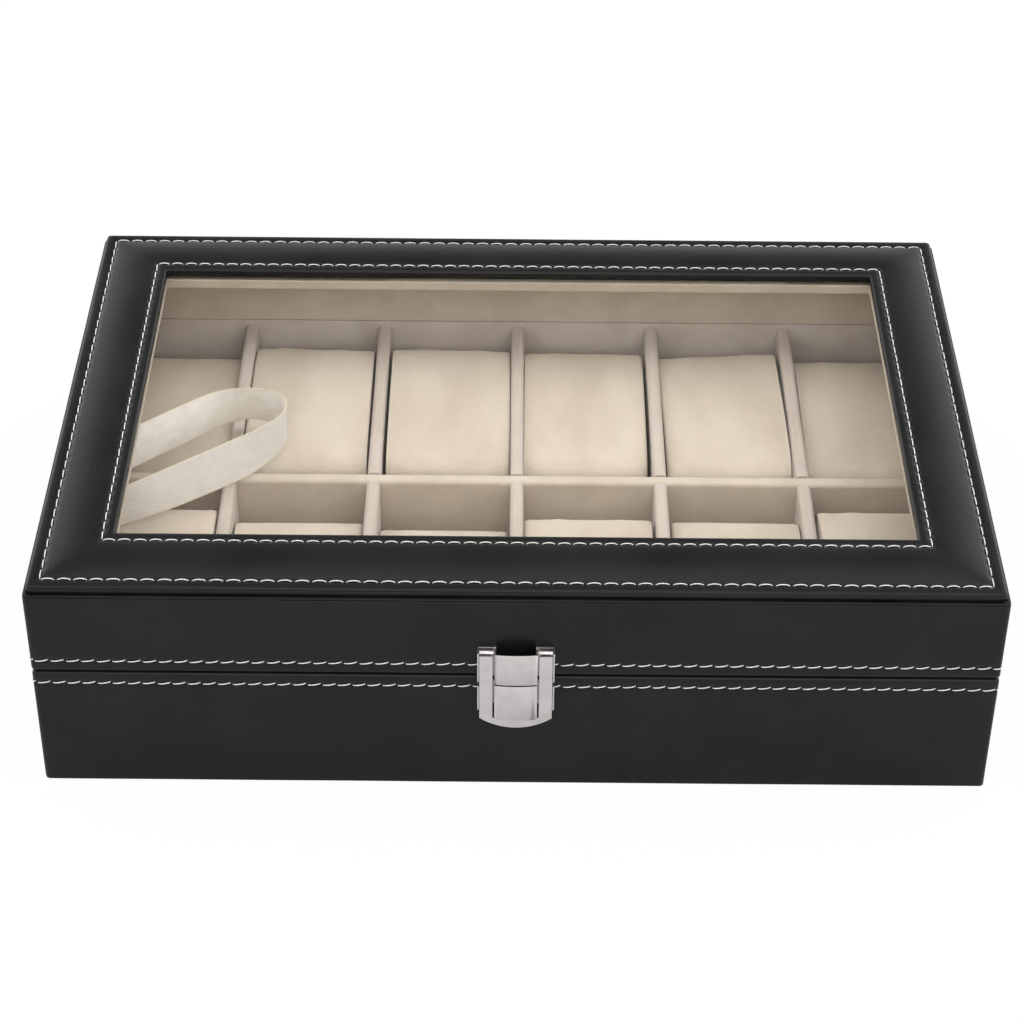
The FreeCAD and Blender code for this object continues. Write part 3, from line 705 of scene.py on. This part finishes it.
def settle(points, faces, seam):  # fills the velvet over its foam and returns where it comes to rest
    scale = filling["scale"]
    soft = piece("cushionTrial", [Vector(point) * scale for point in points], faces, cushionVelvet)
    group = soft.vertex_groups.new(name="seam")
    group.add(seam, 1.0, "REPLACE")
    cloth = soft.modifiers.new("cloth", "CLOTH")
    cloth.settings.quality = filling["quality"]
    cloth.settings.mass = filling["mass"]
    cloth.settings.vertex_group_mass = "seam"
    cloth.settings.use_pressure = True
    cloth.settings.uniform_pressure_force = filling["pressure"]
    cloth.settings.shrink_min = filling["slack"]
    cloth.settings.effector_weights.gravity = 0
    cloth.point_cache.frame_start = 1
    cloth.point_cache.frame_end = filling["frames"]
    for number in range(1, filling["frames"] + 1):
        scene.frame_set(number)
    shape = soft.evaluated_get(bpy.context.evaluated_depsgraph_get())
    rested = [vertex.co / (mm * scale) for vertex in shape.data.vertices]
    bpy.data.objects.remove(soft)
    scene.frame_set(1)
    settled = []
    for start, end in zip(points, rested):
        move = end - Vector(start)
        if move.length > filling["limit"]:
            move *= filling["limit"] / move.length
        end = Vector(start) + move
        end.x = max(-cushion["halfWidth"], min(cushion["halfWidth"], end.x))
        settled.append(tuple(end))
    return settled


def creaseSeams(mesh):  # keeps the two sewn side edges crisp
    around = (len(cushion["section"]) - 1) * 2 * cushion["perPoint"]
    last = around * (cushion["stations"] - 1)
    creases = mesh.attributes.new("crease_edge", "FLOAT", "EDGE")
    for edge in mesh.edges:
        low, high = min(edge.vertices), max(edge.vertices)
        if high < around or last <= low and high < last + around:
            creases.data[edge.index].value = cushion["crease"]


def cushions():
    trials = []
    for seed in range(cushion["trials"]):
        points, faces, seam = cushionPoints(random.Random(seed))
        trials.append((settle(points, faces, seam), faces))
        print("cushion trial", seed)
    for row in ("front", "back"):
        for number, (slide, turn, stand, tip) in enumerate(cushionRest[row], 1):
            dice = random.Random(f"{row}{number}")
            points, faces = trials[dice.randrange(len(trials))]
            low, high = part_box(f"cushion_{row}_{number}")
            middle = (low + high) / 2 / mm
            place = Vector((middle.x + slide, middle.y, 0))
            spin = Matrix.Rotation(math.radians(turn), 3, "Z")
            flip = dice.choice((-1, 1))  # either end to the front
            shaped = []
            for x, y, z in points:
                swell = 1 + (stand + tip * flip * x / cushion["halfWidth"]) / cushion["shoulder"]
                level = cushion["bottom"] + (z - cushion["bottom"]) * swell
                shaped.append(spin @ Vector((flip * x, flip * y, level)) + place)
            made = piece(f"cushion{row.title()}{number}", shaped, faces, cushionVelvet)
            creaseSeams(made.data)
            finer = made.modifiers.new("finer", "SUBSURF")
            finer.levels = finer.render_levels = 1
            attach(made, f"cushion_{row}_{number}_loose")
            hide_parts(f"cushion_{row}_{number}")


cushions()
print("cushions made")


# Ribbon stay

ribbon = {"low": 47.0, "high": 64.4, "thick": 0.18, "across": 8, "count": 165, "perPoint": 24, "sharp": 50,
          "lowRoute": ((-144.35, -20), (-144.35, -30.5), (-142.6, -34.6), (-137, -32.6), (-131.4, -29.2),
                       (-115.7, -20.0), (-95.6, -4.8), (-87.8, 3.2), (-82.0, 12.5), (-80.0, 18.9),
                       (-81.6, 25.5), (-87, 30.5), (-94, 31.8), (-102, 28.5), (-115.1, 16.8),
                       (-131.6, 2.2), (-139.6, -5.2), (-143.4, -11), (-144.35, -17.5)),
          "highRoute": ((-144.35, -20), (-144.35, -31.5), (-142.6, -36.6), (-136.5, -35.4), (-128.5, -30.6),
                        (-114.0, -19.3), (-95, -4.2), (-86.5, 2.9), (-80.6, 10.2), (-78.9, 15.6),
                        (-80.6, 21), (-85.5, 24.4), (-92.8, 25.8), (-103.6, 23.5), (-115.5, 14.5),
                        (-127.6, 4), (-138.6, -5.6), (-143.2, -11), (-144.35, -17.5))}  # from base to lid


def smoothLine(points, count):  # open curve through points, resampled evenly
    ends = [2 * Vector(points[0]) - Vector(points[1])] + [Vector(p) for p in points]
    ends.append(2 * Vector(points[-1]) - Vector(points[-2]))
    per = ribbon["perPoint"]
    fine = []
    for corners in zip(ends, ends[1:], ends[2:], ends[3:]):
        fine += [curvePoint(*corners, step / per) for step in range(per)]
    fine.append(Vector(points[-1]))
    travelled = [0.0]
    for start, end in zip(fine, fine[1:]):
        travelled.append(travelled[-1] + (end - start).length)
    spots, index = [], 0
    for distance in stretch(0, travelled[-1], travelled[-1] / count):
        while index < len(fine) - 2 and travelled[index + 1] < distance:
            index += 1
        share = (distance - travelled[index]) / max(travelled[index + 1] - travelled[index], 1e-9)
        spots.append(fine[index].lerp(fine[index + 1], share))
    return spots, travelled[-1]


def ribbonStay():
    lows, length = smoothLine(ribbon["lowRoute"], ribbon["count"])
    highs = smoothLine(ribbon["highRoute"], ribbon["count"])[0]
    width = ribbon["high"] - ribbon["low"]
    heights = stretch(0, 1, 1 / ribbon["across"])
    points, flats, shares = [], [], []
    for index, (low, high) in enumerate(zip(lows, highs)):
        along = index / ribbon["count"]
        ahead = (lows[min(index + 1, ribbon["count"])] - lows[max(index - 1, 0)]).normalized()
        left = Vector((-ahead.y, ahead.x)) * ribbon["thick"] / 2
        for side, order in ((1, heights), (-1, heights[::-1])):
            for height in order:
                at = low.lerp(high, height) + left * side
                points.append((at.x, at.y, ribbon["low"] + width * height))
                flats.append(((height - 0.5) * width * mm, along * length * mm))
                shares.append(along)
    around = 2 * len(heights)
    faces = gridFaces(len(lows), around, False, True)
    faces += [tuple(range(around)), tuple(range(len(points) - around, len(points)))[::-1]]
    band = piece("ribbonStay", points, faces, satin)
    band.data.materials.append(twill)
    for number, face in enumerate(band.data.polygons):
        face.material_index = 1 if number % around > ribbon["across"] else 0
    band.data.set_sharp_from_angle(angle=math.radians(ribbon["sharp"]))
    layer = band.data.uv_layers.new(name="flat")
    for corner in band.data.loops:
        layer.data[corner.index].uv = flats[corner.vertex_index]
    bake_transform(band, "base", "lid", Vector((0, 0, ribbon["low"])) * mm, Vector((0, 0, ribbon["high"])) * mm)
    weights = band.data.attributes["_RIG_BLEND"]
    for index, share in enumerate(shares):  # the ribbon gives evenly along its length
        weights.data[index].value = share
    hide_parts("ribbon_stay")
    length * mm
    print("ribbon length", round(length, 1))


ribbonStay()


# Velvet frame under the glass

frameLow, frameHigh = (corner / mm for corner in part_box("lid_lining_frame"))

liningFrame = {"outer": (frameHigh.x, frameHigh.y), "inner": (125.4, 75.6), "low": frameLow.z,
               "high": frameHigh.z, "round": 0.5, "steps": 3}


def velvetFrame():
    points = []
    for signX, signY in ((-1, -1), (1, -1), (1, 1), (-1, 1)):
        for edge, level in (("outer", "low"), ("outer", "high"), ("inner", "high"), ("inner", "low")):
            halfX, halfY = liningFrame[edge]
            points.append((signX * halfX, signY * halfY, liningFrame[level]))
    ring = piece("lidLiningFrame", points, gridFaces(4, 4, True, True), frameShadedVelvet)
    easeEdges(ring, liningFrame["round"], liningFrame["steps"])
    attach(ring, "lid")
    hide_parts("lid_lining_frame")


velvetFrame()
print("velvet frame made")


# CAD pieces that show as they are

finishes = {"clasp": nickel, "hinge": steel, "board": boardFibre, "felt": felt, "glass": glass,
            "lid": lidShadedVelvet, "long": longBounceLitVelvet, "base": liningVelvet, "divider": liningVelvet}
metalEdge = {"weld": 0.001, "round": 0.1, "steps": 2}


def finishNodes():
    for name, node in nodes.items():
        for word, finish in finishes.items():  # the first word that the name holds
            if word in name:
                node.data.materials.clear()
                node.data.materials.append(finish)
                break
        if name.startswith(("clasp", "hinge")):
            weld = node.modifiers.new("weld", "WELD")
            weld.merge_threshold = metalEdge["weld"] * mm
            easeEdges(node, metalEdge["round"], metalEdge["steps"]).limit_method = "ANGLE"


finishNodes()
print("CAD pieces finished")


# Floor, light and camera; floor and lamps in metres

floorLook = {"half": 4.0, "level": -0.00002, "tone": (0.6, 0.6, 0.6, 1), "glow": 0.96, "mirrored": 0.12}
lamps = {"overhead": {"place": (0.1, 0.05, 1.5), "size": 1.3, "power": 11.2},
         "front": {"place": (0.1, -1.42, 1.25), "size": 1.1, "power": 14.5}}
lampAim = Vector((0, 0, 0.05))
skyLook = {"seen": 1.0, "high": 0.26, "low": 1.0, "rise": (0.02, 0.6), "aside": 1.75,
           "asideReach": (0.12, 0.55)}
cameraView = {"place": (-2.24, -728.03, 592.89), "tilt": 37.643, "yaw": 0.053, "roll": 0.528,
              "focal": 2670.2, "pixels": 1024, "sensor": 36.0, "reach": 100.0}  # place in mm, focal in pixels


def floorMaterial(look):  # white to the camera, apart from the shadow
    made = bpy.data.materials.new("paleFloor")
    made.use_nodes = True
    tree = made.node_tree
    wire = Wire(tree)
    matt = wire.add("BsdfDiffuse", {}, {"Color": look["tone"]})
    glow = wire.add("Emission", {}, {"Color": (1, 1, 1, 1), "Strength": 1.0})
    glossy = wire.add("LightPath", {}, {}, "Is Glossy Ray")
    seen = wire.add("LightPath", {}, {}, "Is Camera Ray") + look["mirrored"] * glossy
    mixed = wire.add("MixShader", {}, {0: seen * look["glow"], 1: matt, 2: glow})
    tree.links.new(mixed.socket, tree.nodes["Material Output"].inputs["Surface"])
    return made


def layFloor():
    reach, level = floorLook["half"] / mm, floorLook["level"] / mm
    corners = [(x * reach, y * reach, level) for x, y in ((-1, -1), (1, -1), (1, 1), (-1, 1))]
    piece("floor", corners, [(0, 1, 2, 3)], floorMaterial(floorLook))


def hangLamps():
    for name, lamp in lamps.items():
        light = bpy.data.lights.new(name, "AREA")
        light.energy = lamp["power"]
        light.size = lamp["size"]
        holder = bpy.data.objects.new(name, light)
        holder.location = lamp["place"]
        holder.rotation_euler = (lampAim - Vector(lamp["place"])).to_track_quat("-Z", "Y").to_euler()
        scene.collection.objects.link(holder)


def makeSky():  # brighter low down and at the sides, and plain white to the camera
    world = bpy.data.worlds.new("sky")
    world.use_nodes = True
    scene.world = world
    wire = Wire(world.node_tree)
    seen = wire.add("LightPath", {}, {}, "Is Camera Ray")
    heading = wire.add("TexCoord", {}, {}, "Generated")
    height = contrast(wire, axis(wire, heading, "Z"), *skyLook["rise"])
    sideways = contrast(wire, unsigned(wire, axis(wire, heading, "X")), *skyLook["asideReach"])
    light = skyLook["low"] + height * (skyLook["high"] - skyLook["low"]) + sideways * skyLook["aside"]
    background = world.node_tree.nodes["Background"]
    background.inputs["Color"].default_value = (1, 1, 1, 1)
    plug(world.node_tree, light - seen * (light - skyLook["seen"]), background.inputs["Strength"])


def aimCamera(view):
    tilt, yaw, roll = (math.radians(view[angle]) for angle in ("tilt", "yaw", "roll"))
    forward = Vector((math.sin(yaw) * math.cos(tilt), math.cos(yaw) * math.cos(tilt), -math.sin(tilt)))
    right = Vector((math.cos(yaw), -math.sin(yaw), 0))
    up = right.cross(forward)
    across = right * math.cos(roll) + up * math.sin(roll)
    rolledUp = up * math.cos(roll) - right * math.sin(roll)
    lens = bpy.data.cameras.new("photoView")
    lens.sensor_width = view["sensor"]
    lens.lens = view["focal"] * view["sensor"] / view["pixels"]
    lens.clip_end = view["reach"]
    holder = bpy.data.objects.new("photoView", lens)
    scene.collection.objects.link(holder)
    holder.matrix_world = (Matrix.Translation(Vector(view["place"]) * mm)
                           @ Matrix((across, rolledUp, -forward)).transposed().to_4x4())
    scene.camera = holder


layFloor()
hangLamps()
makeSky()
aimCamera(cameraView)
scene.view_settings.view_transform = "Standard"
print("scene made")
